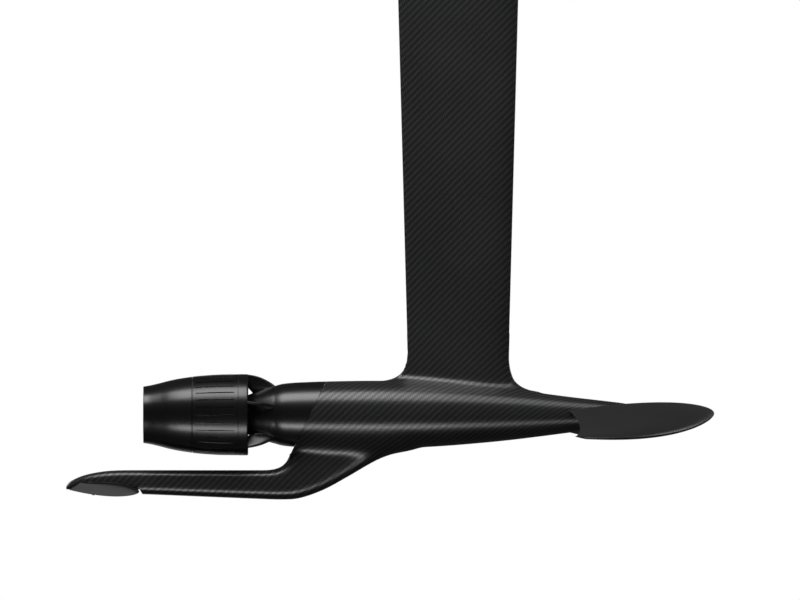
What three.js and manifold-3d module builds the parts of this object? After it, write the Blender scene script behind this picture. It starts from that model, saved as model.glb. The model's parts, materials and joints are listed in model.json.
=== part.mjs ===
// Electric hydrofoil, lower unit: a carbon mast moulded in one piece with its fuselage, pylon and tail
// boom, a front wing, a tail wing, and a ducted water jet driven by a motor in the fuselage.
// Millimetres. +X forward, +Y to port, +Z up. The origin is the centre of the mast plate's board face.

import * as THREE from "three";
import { mergeVertices } from "three/addons/utils/BufferGeometryUtils.js";
import Module from "manifold-3d";

const wasm = await Module();
wasm.setup();

// ---- driving dimensions -------------------------------------------------------------------------

const GAP = 0.3; // between touching pieces
const DRIVE_DEPTH = 790; // board face to the drive axis

const MAST = { rootChord: 125, rootHeight: 106, taper: 0.0538, rootThickness: 15, topThickness: 19 };
const PLATE = { length: 200, width: 120, thickness: 8, corner: 22, holeX: 80, holeY: 44, holeR: 4.2 };
const CHANNEL = { x: 30, length: 24, width: 7.2, foot: 0 }; // the cable's way through the mast

const JOINT = { x: -181, slope: 0.494 }; // the slanted plane between fuselage and motor housing
const BORE = { radius: 35.3, front: -104 }; // the motor's seat in the fuselage
const BAY = { radius: 27.5, front: 48 }; // the controller's bay ahead of it
const SEAT = { wingX: 148, wingZ: 6, tailX: -388.5, tailZ: -91 }; // where the two wings bolt on

const WING = { halfSpan: 425, nose: 312, tail: 133.8, thickness: 22, droop: 29.3 };
const TAIL_WING = { halfSpan: 195, nose: -389.6, tail: -474.2, rise: 14 };

const SHAFT_R = 6;
const BEARING_R = 13;
const STRUTS = 5;
const STRUT_THICKNESS = 4;
const DUCT = { lip: -256.3, ring: -268.3, seam: -324.2, exit: -384.1, outer: 49.5, inner: 46.4 };
const IMPELLER = { front: -270, back: -317, tip: 44.8, hub: 17, blades: 4 };
const VANES = { front: -333, back: -366, count: 6 };

const ROUND = 28; // facets round a large turned piece
const SMALL_ROUND = 14;

// ---- materials ----------------------------------------------------------------------------------

const finish = (color, roughness, metalness = 0) =>
  new THREE.MeshStandardMaterial({ color, roughness, metalness });
const CARBON = finish(0x17181a, 0.32);
const WING_BLACK = finish(0x26272a, 0.6);
const ANODISED = finish(0x121316, 0.38, 0.6);
const DUCT_PLASTIC = finish(0x141518, 0.45);
const STEEL = finish(0xb8bbc0, 0.25, 1);
const ALUMINIUM = finish(0xa6a9ad, 0.4, 1);
const RUBBER = finish(0x0c0c0d, 0.85);
const COPPER = finish(0xb06a35, 0.35, 1);
const IRON = finish(0x6b6e72, 0.5, 0.9);
const MAGNET = finish(0x8a8c90, 0.3, 1);
const BOARD_GREEN = finish(0x14502c, 0.5);
const CABLE_BLACK = finish(0x101011, 0.7);

// ---- solids -------------------------------------------------------------------------------------

/** A closed three.js geometry as a manifold solid, turned inside out first if its faces point in. */
function solid(geometry) {
  geometry.deleteAttribute("normal");
  geometry.deleteAttribute("uv");
  const merged = mergeVertices(geometry, 1e-4);
  const corners = merged.index.array;
  const faces = [];
  for (let i = 0; i < corners.length; i += 3) {
    const [a, b, c] = corners.slice(i, i + 3);
    if (a !== b && b !== c && c !== a) faces.push([a, b, c]);
  }
  const build = (list) => new wasm.Manifold(new wasm.Mesh({
    numProp: 3,
    vertProperties: merged.attributes.position.array,
    triVerts: Uint32Array.from(list.flat()),
  }));
  const made = build(faces);
  return made.volume() < 0 ? build(faces.map((face) => face.reverse())) : made;
}

function geometryOf(manifold) {
  const mesh = manifold.getMesh();
  const geometry = new THREE.BufferGeometry();
  geometry.setAttribute("position", new THREE.BufferAttribute(mesh.vertProperties, 3));
  geometry.setIndex(new THREE.BufferAttribute(mesh.triVerts, 1));
  geometry.computeVertexNormals();
  return geometry;
}

const join = (solids) => solids.reduce((all, one) => all.add(one));
const cut = (body, ...tools) => tools.reduce((left, tool) => left.subtract(tool), body);

/** A closed skin through rings of equally many points, with a fan over each end ring. */
function loft(rings) {
  const count = rings[0].length;
  const points = rings.flat();
  const index = [];
  for (let r = 0; r < rings.length - 1; r++) {
    for (let i = 0; i < count; i++) {
      const a = r * count + i;
      const b = r * count + ((i + 1) % count);
      index.push(a, b, b + count, a, b + count, a + count);
    }
  }
  for (const [start, step] of [[0, -1], [(rings.length - 1) * count, 1]]) {
    const centre = points.length;
    const ring = points.slice(start, start + count);
    points.push(ring.reduce((sum, p) => sum.clone().add(p), new THREE.Vector3()).divideScalar(count));
    for (let i = 0; i < count; i++) {
      const pair = [start + i, start + ((i + 1) % count)];
      index.push(...(step > 0 ? pair : pair.reverse()), centre);
    }
  }
  const geometry = new THREE.BufferGeometry().setFromPoints(points);
  geometry.setIndex(index);
  return solid(geometry);
}

/** A solid turned about the X axis from [x, radius] corners, which close on themselves. */
function turned(corners, segments = ROUND) {
  const outline = [...corners, corners[0]].map(([x, radius]) => new THREE.Vector2(radius, x));
  return solid(new THREE.LatheGeometry(outline, segments).rotateZ(-Math.PI / 2));
}

const rod = (x0, x1, radius, segments = SMALL_ROUND) =>
  turned([[x0, 0], [x1, 0], [x1, radius], [x0, radius]], segments);
const tube = (x0, x1, inner, outer, segments = ROUND) =>
  turned([[x0, inner], [x1, inner], [x1, outer], [x0, outer]], segments);
const box = (x0, x1, y0, y1, z0, z1) =>
  solid(new THREE.BoxGeometry(x1 - x0, y1 - y0, z1 - z0)
    .translate((x0 + x1) / 2, (y0 + y1) / 2, (z0 + z1) / 2));

/** An upright cylinder between two heights. */
const post = (x, y, z0, z1, radius, segments = SMALL_ROUND) =>
  rod(z0, z1, radius, segments).rotate([0, -90, 0]).translate([x, y, 0]);

/** The same piece repeated round the X axis. */
const around = (piece, count, start = 0) =>
  Array.from({ length: count }, (_, i) => piece.rotate([start + (360 / count) * i, 0, 0]));

/** Points of a smooth curve through a few stations, [x, value] each. */
const smooth = (stations, steps) =>
  new THREE.SplineCurve(stations.map(([x, value]) => new THREE.Vector2(x, value)))
    .getPoints(steps).map((p) => [p.x, p.y]);

const group = new THREE.Group();
const lower = new THREE.Group(); // everything on the drive axis, whose heights count from it
lower.position.z = -DRIVE_DEPTH;
group.add(lower);

function node(name, shape, material, parent = lower) {
  const mesh = new THREE.Mesh(shape.getMesh ? geometryOf(shape) : shape, material);
  mesh.name = name;
  parent.add(mesh);
  return mesh;
}

// ---- carbon moulding ----------------------------------------------------------------------------

const FUSELAGE = [
  [-215, 38.0], [-200, 39.5], [-150, 40.9], [-98, 41.5], [-54, 40.1], [-17, 38.1], [22, 35],
  [61, 31.2], [100, 26.5], [139, 21.5], [178, 17], [205, 13.4], [214, 9],
];

/** Half thickness of a foil at u along its chord, 0 at the nose, as a share of its thickness. */
const foil = (u) => 5 * (0.2969 * Math.sqrt(u) - 0.126 * u - 0.3516 * u ** 2 + 0.2843 * u ** 3 - 0.1015 * u ** 4);

/** How far a fillet of this reach stands out at a height, when it starts at top and ends at foot. */
function flare(height, top, foot, reach) {
  const down = THREE.MathUtils.clamp((top - height) / (top - foot), 0, 1);
  return reach * (1 - Math.sqrt(1 - down ** 2));
}

function mastRing(height) {
  const chord = MAST.rootChord + MAST.taper * (height - MAST.rootHeight);
  const nose = chord / 2 + flare(height, 74, 28, 27);
  const tail = -chord / 2 - flare(height, 80, 40, 34);
  const up = (height - MAST.rootHeight) / (DRIVE_DEPTH - MAST.rootHeight);
  const thickness = THREE.MathUtils.lerp(MAST.rootThickness, MAST.topThickness, Math.max(up, 0));
  const half = thickness / 2 + flare(height, 66, 26, 15);
  const count = 24;
  return Array.from({ length: count }, (_, i) => {
    const angle = (2 * Math.PI * i) / count;
    const u = (1 - Math.cos(angle)) / 2;
    const y = Math.sign(Math.sin(angle)) * 2 * half * foil(u);
    return new THREE.Vector3(nose + (tail - nose) * u, Math.abs(y) < 1e-6 ? 0 : y, height);
  });
}

// Rear and front edge of each section through the boom and pylon, [x, z, x, z, half width].
const BOOM = [
  [-478.4, -88, -478, -92, 3], [-471.3, -80.2, -471, -96, 9], [-456.6, -73.9, -456, -96.5, 13],
  [-437, -69.7, -437, -97, 15], [-417.6, -67.9, -417, -97, 16], [-385, -67.6, -385, -97, 16.5],
  [-303, -67.6, -303, -100.3, 17], [-254, -67.6, -250, -102.4, 17.5], [-231, -67.3, -216, -103.4, 18],
  [-219, -64.6, -193, -101.6, 18], [-211.5, -59.5, -164, -91.4, 17.5], [-206.5, -52, -134.6, -75.5, 17],
  [-203, -45, -108, -60, 17], [-200, -38.6, -83, -47.3, 18], [-196, -28, -58, -38, 20],
  [-190, -16, -50, -24, 22],
];

/** A section between a rounded box and an ellipse, so that the boom's sides are nearly flat. */
function boomRing([rearX, rearZ, frontX, frontZ, half]) {
  const middle = new THREE.Vector3((rearX + frontX) / 2, 0, (rearZ + frontZ) / 2);
  const along = new THREE.Vector3(rearX, 0, rearZ).sub(middle);
  const squared = (value) => Math.sign(value) * Math.abs(value) ** (2 / 3);
  const count = 20;
  return Array.from({ length: count }, (_, i) => {
    const angle = (2 * Math.PI * i) / count;
    return middle.clone().addScaledVector(along, squared(Math.cos(angle)))
      .add(new THREE.Vector3(0, half * squared(Math.sin(angle)), 0));
  });
}

/** Everything behind the slanted joint, or behind it by an offset, as a block. */
const behindJoint = (offset = 0) =>
  box(-400, 0, -100, 100, -300, 300).rotate([0, (Math.atan(JOINT.slope) * 180) / Math.PI, 0])
    .translate([JOINT.x + offset, 0, 0]);

const FUSELAGE_NOSE = 217;
const fuselageSkin = (extra = 0) => turned([
  ...smooth(FUSELAGE, 17).map(([x, r]) => [x, r + extra]), [FUSELAGE_NOSE + extra, 0], [FUSELAGE[0][0], 0]]);
/** The room under a seat plane at z1, ahead of x0. */
const wingStep = (x0, z1) => box(x0, FUSELAGE_NOSE + 40, -60, 60, -80, z1);
const WING_SCREWS = [168, 186, 204];
const TAIL_SCREWS = [-415, -442];
const MAST_SCREWS = [-60, -38, -16, 60];
const WING_SCREW = { length: 13, radius: 3, heads: [-2.2, -1.8, -1.9] };
const TAIL_SCREW = { length: 20, radius: 2.5, head: -98.2 };
const MAST_SCREW = { length: 34, radius: 3, head: -0.4 };

function carbonMoulding() {
  const heights = [18, 27, 30, 35, 41, 48, 57, 68, 82, 106, DRIVE_DEPTH - PLATE.thickness - GAP];
  const skin = join([loft(heights.map(mastRing)), fuselageSkin(), loft(BOOM.map(boomRing))]);
  const channel = box(CHANNEL.x - CHANNEL.length / 2, CHANNEL.x + CHANNEL.length / 2,
    -CHANNEL.width / 2, CHANNEL.width / 2, CHANNEL.foot, DRIVE_DEPTH);
  const motorSeat = rod(-260, BORE.front, BORE.radius, ROUND);
  const housingRoom = rod(-260, -120, 45, ROUND).intersect(behindJoint());
  const tailStep = box(-500, SEAT.tailX, -40, 40, -130, SEAT.tailZ);
  const threads = [
    ...WING_SCREWS.map((x) => post(x, 0, 0, 11.8, WING_SCREW.radius + GAP)),
    ...TAIL_SCREWS.map((x) => post(x, 0, -100, -77, TAIL_SCREW.radius + GAP)),
    ...MAST_SCREWS.map((x) => post(x, 0, DRIVE_DEPTH - 42, DRIVE_DEPTH, MAST_SCREW.radius + GAP)),
  ];
  return cut(skin, channel, motorSeat, rod(-160, BAY.front, BAY.radius, ROUND), housingRoom,
    wingStep(SEAT.wingX, SEAT.wingZ), tailStep, ...threads);
}

node("mast_fuselage_moulding", carbonMoulding(), CARBON);

// ---- wings --------------------------------------------------------------------------------------

/** A foil section across the span: nose and tail points [x, z], thickness, and a little camber. */
function wingRing(y, nose, tail, thickness, camber) {
  const count = 18;
  return Array.from({ length: count }, (_, i) => {
    const angle = (2 * Math.PI * i) / count;
    const u = (1 - Math.cos(angle)) / 2;
    const side = Math.sign(Math.sin(angle)) * thickness * foil(u);
    const z = THREE.MathUtils.lerp(nose[1], tail[1], u) + side + camber * 4 * u * (1 - u);
    return new THREE.Vector3(THREE.MathUtils.lerp(nose[0], tail[0], u), y, z);
  });
}

/** How much of its full bend towards the tip a wing has at a share of its half span. */
const bend = (share) => 1 - (1 - share ** 2) ** 1.5;

function wing(sectionAt, halfSpan) {
  const shares = [0, 0.2, 0.38, 0.54, 0.67, 0.78, 0.87, 0.94, 0.98, 0.994];
  const spread = [...shares.slice(1).reverse().map((s) => -s), ...shares];
  return loft(spread.map((s) => sectionAt(Math.abs(s), s * halfSpan)));
}

const frontWing = () => wing((s, y) => {
  const nose = WING.nose - 173 * (1 - Math.sqrt(1 - s ** 2.6));
  const tail = WING.tail + 5.2 * s + 60 * s ** 2 * (1 - s);
  const chord = nose - tail;
  const thickness = chord * THREE.MathUtils.lerp(WING.thickness / 178, 0.1, s);
  const drop = WING.droop * bend(s);
  return wingRing(y, [nose, 2.3 - drop], [tail, 5.2 - drop], thickness, 0.0067 * chord);
}, WING.halfSpan);

const tailWing = () => wing((s, y) => {
  const nose = TAIL_WING.nose - 65 * (1 - Math.sqrt(1 - s ** 2.2));
  const tail = TAIL_WING.tail + 15 * s ** 2;
  const chord = nose - tail;
  const lift = TAIL_WING.rise * (1 - (1 - s ** 1.7) ** 1.6);
  return wingRing(y, [nose, -94.8 + lift], [tail, -91.6 + lift - 4 * s ** 2], 0.11 * chord, -0.024 * chord);
}, TAIL_WING.halfSpan);

/** A flat-head hex socket screw along +X, its head's face at the origin. */
const screw = (length, radius) => cut(
  turned([[0, 0], [length, 0], [length, radius], [radius, radius], [0, 1.95 * radius]], 12),
  rod(-1, 0.7 * radius, 0.7 * radius, 6));

/** Room for such a screw, open in front of its head. */
const screwRoom = (length, radius) => turned([[-30, 0], [length + GAP, 0], [length + GAP, radius + GAP],
  [radius, radius + GAP], [0, 1.95 * radius + GAP], [-30, 1.95 * radius + GAP]], 12);

const rising = (piece, x, z) => piece.rotate([0, -90, 0]).translate([x, 0, z]);

const noseRoom = cut(fuselageSkin(GAP), wingStep(SEAT.wingX + GAP, SEAT.wingZ - GAP));
const wingRooms = WING_SCREWS.map((x, i) =>
  rising(screwRoom(WING_SCREW.length, WING_SCREW.radius), x, WING_SCREW.heads[i]));
node("front_wing", cut(frontWing(), noseRoom, ...wingRooms), WING_BLACK);
WING_SCREWS.forEach((x, i) => node(`wing_screw_${i + 1}`,
  rising(screw(WING_SCREW.length, WING_SCREW.radius), x, WING_SCREW.heads[i]), STEEL));

const tailRoom = box(-490, SEAT.tailX + 2, -19, 19, SEAT.tailZ - GAP, -50);
const tailRooms = TAIL_SCREWS.map((x) =>
  rising(screwRoom(TAIL_SCREW.length, TAIL_SCREW.radius), x, TAIL_SCREW.head));
node("tail_wing", cut(tailWing(), tailRoom, ...tailRooms), WING_BLACK);
TAIL_SCREWS.forEach((x, i) => node(`tail_screw_${i + 1}`,
  rising(screw(TAIL_SCREW.length, TAIL_SCREW.radius), x, TAIL_SCREW.head), STEEL));

// ---- motor housing and motor --------------------------------------------------------------------

const HOUSING = [
  [-120, 41.2], [-164, 40.6], [-186, 39.8], [-199, 39.2], [-211.4, 38.1], [-217.5, 37], [-223.6, 35.2],
];
const WALL = { back: -223.6, inner: -214, bore: 32, spigot: 35, front: -106 };
const SPIDER_SCREW = { radius: 2, head: 3.5, circle: 19 };
const LEAD_RADIUS = 22; // the phase leads pass the bulkhead at this distance from the axis

const outerShell = turned([...HOUSING, [WALL.back, 0], [HOUSING[0][0], 0]]).intersect(behindJoint(-GAP));
const ringGroove = tube(-117.6, -114.9, 33.3, 40);
const spiderThreads = around(rod(-227, WALL.inner + 1, SPIDER_SCREW.radius + GAP, 8)
  .translate([0, 0, SPIDER_SCREW.circle]), STRUTS, 180 / STRUTS);
node("motor_housing", cut(
  outerShell.add(rod(WALL.back, WALL.front, WALL.spigot, ROUND)),
  rod(WALL.inner, WALL.front + 1, WALL.bore, ROUND),
  rod(-230, WALL.inner + 1, SHAFT_R + 1),
  rod(-222, WALL.inner + 1, BEARING_R + GAP),
  ringGroove, ...spiderThreads), ANODISED);
node("housing_seal_ring", tube(-117.3, -115.2, 33.6, 35), RUBBER);

node("motor_bulkhead", cut(tube(-120, -108, SHAFT_R + 1, WALL.bore - GAP),
  rod(-121, -110.5, BEARING_R + GAP),
  ...around(rod(-121, -107, 3.4).translate([0, 0, LEAD_RADIUS]), 3)), ALUMINIUM);
const bearing = (x) => tube(x, x + 8, SHAFT_R + GAP, BEARING_R, SMALL_ROUND);
node("front_bearing", bearing(-119.5), STEEL);
node("rear_bearing", bearing(-221.6), STEEL);

const SLOTS = 12;
const slotBar = box(-200, -140, -2.2, 2.2, 25.6, 28.8);
node("stator_core", cut(tube(-198, -142, 24, WALL.bore - GAP),
  ...around(box(-199, -141, -2.6, 2.6, 20, 29.6), SLOTS)), IRON);
node("stator_windings", join([tube(-206, -198.3, 24.4, 31), tube(-141.7, -134, 24.4, 31),
  ...around(slotBar, SLOTS)]), COPPER);

node("motor_shaft", rod(-330, -109, SHAFT_R), STEEL);
node("rotor_core", tube(-196, -144, SHAFT_R + GAP, 18, SMALL_ROUND), IRON);
node("rotor_magnets", tube(-196, -144, 18 + GAP, 22.4, SMALL_ROUND), MAGNET);

// ---- water jet ----------------------------------------------------------------------------------

/** One intake strut pointing up: a thin plate between the hub and the lip ring. */
function strut() {
  const side = new THREE.Shape();
  side.moveTo(-266, 48.4);
  side.lineTo(-256, 49.3);
  side.bezierCurveTo(-238, 48.4, -228, 43.5, -221.8, 33.5);
  side.lineTo(-228, 26);
  side.lineTo(-250, 22);
  side.lineTo(-251, 26.5);
  side.bezierCurveTo(-256, 31, -260, 37, -266, 47);
  const plate = new THREE.ExtrudeGeometry(side, { depth: STRUT_THICKNESS, bevelEnabled: false, curveSegments: 4 });
  return solid(plate.translate(0, 0, -STRUT_THICKNESS / 2).rotateX(Math.PI / 2));
}

const behindHousing = rod(-300, WALL.back - GAP, 60, ROUND);
const hubCone = turned([[WALL.back - GAP, 7.3], [WALL.back - GAP, 35], [-238, 31.2], [-251, 26.5], [-262, 21.5],
  [-268, 17.5], [-268, 7.3]]);
const lipRing = turned([[DUCT.lip - 1.4, 46.6], [DUCT.lip, 47.6], [DUCT.lip, 48.6], [DUCT.lip - 1, DUCT.outer],
  [DUCT.ring, DUCT.outer], [DUCT.ring, DUCT.inner]]);
const spiderScrew = cut(rod(-30, 9, SPIDER_SCREW.radius, 8).add(rod(-34, -30, SPIDER_SCREW.head, 10)),
  rod(-35, -31.6, 1.5, 6));
const spiderScrews = around(spiderScrew.translate([WALL.back, 0, SPIDER_SCREW.circle]), STRUTS, 180 / STRUTS);
const spiderRooms = around(rod(-50, 10, SPIDER_SCREW.radius + GAP, 8).add(rod(-80, -30, SPIDER_SCREW.head + GAP, 10))
  .translate([WALL.back, 0, SPIDER_SCREW.circle]), STRUTS, 180 / STRUTS);
node("intake_spider", cut(
  join([hubCone, lipRing, ...around(strut(), STRUTS)]).intersect(behindHousing),
  rod(-233, -223, 12.3), ...spiderRooms), DUCT_PLASTIC);
spiderScrews.forEach((piece, i) => node(`spider_screw_${i + 1}`, piece, STEEL));
node("shaft_seal", tube(-232.6, -224.2, SHAFT_R + GAP, 12, SMALL_ROUND), RUBBER);

node("duct_housing", turned([[DUCT.ring - GAP, DUCT.inner], [DUCT.ring - GAP, 49.4], [-291, 49.1], [-303, 48.4],
  [-315, 47.5], [DUCT.seam, 46.5], [DUCT.seam, 44.6], [-317, 45.2], [-317, DUCT.inner - 0.6]]), DUCT_PLASTIC);
node("nozzle", turned([[-317.3, 42.6], [-317.3, 44.8], [DUCT.seam - GAP, 44.2], [DUCT.seam - GAP, 46.4],
  [-339.5, 44.2], [-352, 41.7], [-364, 38.6], [-376, 35.8], [DUCT.exit, 34.5], [DUCT.exit, 32.6],
  [-366, 35.2], [-345, 40.6], [-330, 42.4]]), ANODISED);

/** A twisted blade pointing up, between two radii, whose chord turns from the axis by a pitch. */
function blade(inner, outer, chordAt, pitchAt, thickness) {
  const steps = 4;
  return loft(Array.from({ length: steps + 1 }, (_, step) => {
    const share = step / steps;
    const radius = THREE.MathUtils.lerp(inner, outer, share);
    const half = chordAt(share) / 2;
    const pitch = THREE.MathUtils.degToRad(pitchAt(share));
    const section = [[-half, 0], [-half / 2, thickness], [half / 2, thickness], [half, 0],
      [half / 2, -thickness], [-half / 2, -thickness]];
    return section.map(([along, across]) => {
      const x = along * Math.cos(pitch) - across * Math.sin(pitch);
      const turn = (along * Math.sin(pitch) + across * Math.cos(pitch)) / radius;
      return new THREE.Vector3(x, -radius * Math.sin(turn), radius * Math.cos(turn));
    });
  }));
}

const impellerBlade = blade(14, IMPELLER.tip, (s) => 34 + 12 * s, (s) => 38 + 24 * s, 1.1)
  .translate([(IMPELLER.front + IMPELLER.back) / 2, 0, 0]);
node("impeller", cut(join([
  turned([[IMPELLER.front, 0], [IMPELLER.front, IMPELLER.hub], [IMPELLER.back, IMPELLER.hub - 1], [IMPELLER.back, 0]]),
  ...around(impellerBlade, IMPELLER.blades)]).intersect(rod(IMPELLER.back, IMPELLER.front, 60)),
  rod(-330, -260, SHAFT_R + GAP)), DUCT_PLASTIC);
node("impeller_nut", cut(turned([[IMPELLER.back - GAP, 0], [IMPELLER.back - GAP, 9], [-321, 9.5], [-325, 9],
  [-331.5, 5.6], [-331.5, 0]]), rod(-340, -310, SHAFT_R + GAP)), STEEL);

const vane = blade(8, 37, (s) => 26 - 2 * s, () => -14, 0.9).translate([(VANES.front + VANES.back) / 2, 0, 0]);
const boreRoom = turned([[-320, 0], [-320, 42.2], [-330, 42.4 - GAP], [-345, 40.6 - GAP], [-366, 35.2 - GAP],
  [-376, 33.2], [-376, 0]]);
node("flow_straightener", join([
  turned([[VANES.front, 0], [VANES.front, 13.5], [-345, 12.5], [-358, 8], [-366, 2], [-366, 0]]),
  ...around(vane, VANES.count)]).intersect(boreRoom), ALUMINIUM);

// ---- controller and wiring ----------------------------------------------------------------------

/** A round lead of this radius along a smooth curve through its points, [x, y, z] each. */
function lead(points, radius, steps, sides) {
  const path = new THREE.CatmullRomCurve3(points.map((p) => new THREE.Vector3(...p)));
  const section = new THREE.Shape();
  section.absarc(0, 0, radius, 0, 2 * Math.PI);
  return solid(new THREE.ExtrudeGeometry(section, {
    extrudePath: path, steps, curveSegments: sides, bevelEnabled: false,
  }));
}

const TRAY = { back: -90, front: 40, half: 19, floor: -10, top: -6 };
node("controller_tray", join([
  box(TRAY.back, TRAY.front, -TRAY.half, TRAY.half, TRAY.floor, TRAY.top),
  ...Array.from({ length: 5 }, (_, i) => box(TRAY.back, TRAY.front, -13 + i * 6, -11 + i * 6, -18, TRAY.floor)),
]), ALUMINIUM);
node("controller_board", join([
  box(TRAY.back + 4, TRAY.front - 4, -17, 17, TRAY.top + GAP, -4),
  ...[-70, -56, -42, -28].map((x) => box(x - 5, x + 5, -12, 12, -4.5, 1)),
  ...[-14, 0].map((x) => post(x, -8, -4.5, 9, 5)),
]), BOARD_GREEN);
for (let i = 0; i < 3; i++) {
  const [y, z] = [-LEAD_RADIUS * Math.sin((i * 2 * Math.PI) / 3), LEAD_RADIUS * Math.cos((i * 2 * Math.PI) / 3)];
  node(`phase_lead_${i + 1}`, lead([[-133.5, y, z], [-120, y, z], [-107, y, z], [-101, y * 0.8, z * 0.7 + 1],
    [-94, (i - 1) * 8, 2]], 1.9, 8, 4), CABLE_BLACK);
}
node("power_cable", lead([[CHANNEL.x, 0, DRIVE_DEPTH - 31], [CHANNEL.x, 0, 400], [CHANNEL.x, 0, 60],
  [CHANNEL.x - 2, 0, 28], [CHANNEL.x - 10, 0, 10], [CHANNEL.x - 18, 0, 3]], 3, 16, 4), CABLE_BLACK);

// ---- mast plate ---------------------------------------------------------------------------------

function plateOutline() {
  const [x, y, r] = [PLATE.length / 2, PLATE.width / 2, PLATE.corner];
  const outline = new THREE.Shape();
  outline.moveTo(x - r, -y);
  outline.absarc(x - r, -y + r, r, -Math.PI / 2, 0);
  outline.absarc(x - r, y - r, r, 0, Math.PI / 2);
  outline.absarc(-x + r, y - r, r, Math.PI / 2, Math.PI);
  outline.absarc(-x + r, -y + r, r, Math.PI, 1.5 * Math.PI);
  outline.closePath();
  return outline;
}

const CONNECTOR = { halfX: 11, halfY: 8, seal: 2 };

/** A block centred over the cable channel. */
const overChannel = (halfX, halfY, z0, z1) => box(CHANNEL.x - halfX, CHANNEL.x + halfX, -halfY, halfY, z0, z1);

const falling = (piece, x) => piece.rotate([0, 90, 0]).translate([x, 0, MAST_SCREW.head]);
const boardHoles = [[1, 1], [1, -1], [-1, 1], [-1, -1]].map(([sx, sy]) =>
  post(sx * PLATE.holeX, sy * PLATE.holeY, -20, 5, PLATE.holeR));
node("mast_plate", cut(
  solid(new THREE.ExtrudeGeometry(plateOutline(), { depth: PLATE.thickness, bevelEnabled: false, curveSegments: 5 })
    .translate(0, 0, -PLATE.thickness)),
  ...boardHoles,
  ...MAST_SCREWS.map((x) => falling(screwRoom(MAST_SCREW.length, MAST_SCREW.radius), x)),
  overChannel(CONNECTOR.halfX + CONNECTOR.seal + GAP, CONNECTOR.halfY + CONNECTOR.seal + GAP, -3, 5),
  overChannel(CONNECTOR.halfX + GAP, 3.3 + GAP, -20, 5)), ALUMINIUM, group);
MAST_SCREWS.forEach((x, i) => node(`mast_screw_${i + 1}`,
  falling(screw(MAST_SCREW.length, MAST_SCREW.radius), x), STEEL, group));
node("board_connector", join([
  overChannel(CONNECTOR.halfX, 3.3, -30.5, -2),
  overChannel(CONNECTOR.halfX, CONNECTOR.halfY, -2.6, -1),
  ...[-6, 0, 6].map((x) => post(CHANNEL.x + x, 0, -2, -0.4, 1.6, 8)),
]), DUCT_PLASTIC, group);
node("connector_seal", cut(
  overChannel(CONNECTOR.halfX + CONNECTOR.seal, CONNECTOR.halfY + CONNECTOR.seal, -2.7, -0.3),
  overChannel(CONNECTOR.halfX + GAP, CONNECTOR.halfY + GAP, -5, 5)), RUBBER, group);

export default group;
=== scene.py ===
import json
import math

import bmesh
import bpy
import numpy as np
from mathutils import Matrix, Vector
from mathutils.bvhtree import BVHTree


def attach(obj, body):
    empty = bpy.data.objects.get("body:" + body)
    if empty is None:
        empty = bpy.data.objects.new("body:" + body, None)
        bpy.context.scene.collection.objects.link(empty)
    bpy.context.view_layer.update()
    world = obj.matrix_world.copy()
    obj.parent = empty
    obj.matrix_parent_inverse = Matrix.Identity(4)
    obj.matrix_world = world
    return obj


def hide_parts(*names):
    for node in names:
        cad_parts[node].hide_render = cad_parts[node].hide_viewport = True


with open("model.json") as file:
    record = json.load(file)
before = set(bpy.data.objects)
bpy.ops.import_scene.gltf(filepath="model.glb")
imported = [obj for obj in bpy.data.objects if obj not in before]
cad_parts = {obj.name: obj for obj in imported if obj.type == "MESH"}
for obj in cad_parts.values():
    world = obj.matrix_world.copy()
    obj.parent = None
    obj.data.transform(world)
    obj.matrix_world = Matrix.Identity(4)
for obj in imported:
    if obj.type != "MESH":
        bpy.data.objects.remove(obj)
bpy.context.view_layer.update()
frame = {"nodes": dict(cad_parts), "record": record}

# Millimetres below, about the drive axis, as in the CAD: +X forward, +Y to port, +Z up from the axis.
MM = 0.001
DRIVE_DEPTH = 790.0

MAST_ROOT_CHORD, MAST_ROOT_HEIGHT, MAST_TAPER = 125.0, 106.0, 0.0538
MAST_ROOT_THICKNESS, MAST_TOP_THICKNESS = 15.0, 19.0
MAST_TOP = DRIVE_DEPTH - 8.3
MAST_EDGE = 0.8  # half thickness left at the trailing edge
MAST_CUT = 98.0  # height above the drive axis where the plain mast section takes over
NOSE_FILLET, TAIL_FILLET = (72, 28, 27), (78, 38, 30)  # heights where each starts and ends, and its reach

JOINT_X, JOINT_SLOPE = -181.0, 0.494  # the slanted plane between fuselage and motor housing
BEHIND = -262.0  # well behind it
BORE_FRONT, BORE_RADIUS = -104.0, 35.3  # the motor's seat in the fuselage
BAY_FRONT, BAY_RADIUS = 48.0, 27.5  # the controller's bay ahead of it
SEAT_WING_X, SEAT_WING_Z, SEAT_TAIL_X, SEAT_TAIL_Z = 148.0, 6.0, -388.5, -91.0
# Places along X, heights of the heads, and length and radius of each kind of screw.
WING_SCREWS, WING_HEADS, WING_SCREW = (168, 186, 204), (-2.2, -1.8, -1.9), (13, 3)
TAIL_SCREWS, TAIL_HEAD, TAIL_SCREW = (-415, -442), -98.2, (20, 2.5)
MAST_SCREWS, MAST_HEAD, MAST_SCREW = (-60, -38, -16, 60), -0.4, (34, 3)
HEAD_SHARE = 1.95  # a screw head's radius as a share of its thread's
CHANNEL_X = 30.0  # middle of the cable's way through the mast
STRUTS = 5
BETWEEN_STRUTS = 180.0 / STRUTS  # degrees from a strut to the middle of the next gap
STRUT_SCREW_CIRCLE = 19.0  # radius on which the intake's screws lie
HOUSING_BACK = -223.6
ROUND, FINE_ROUND = 160, 256  # points round a turned piece, and round one that the light runs along
CRISP_ANGLE = 30.0  # degrees at which an edge stops being shaded smooth
GAP = 0.3  # between touching pieces, as in the CAD
SEAM = 0.1  # what is left of the gap where two shown skins meet flush


# ---- curves ---------------------------------------------------------------------------------------

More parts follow.
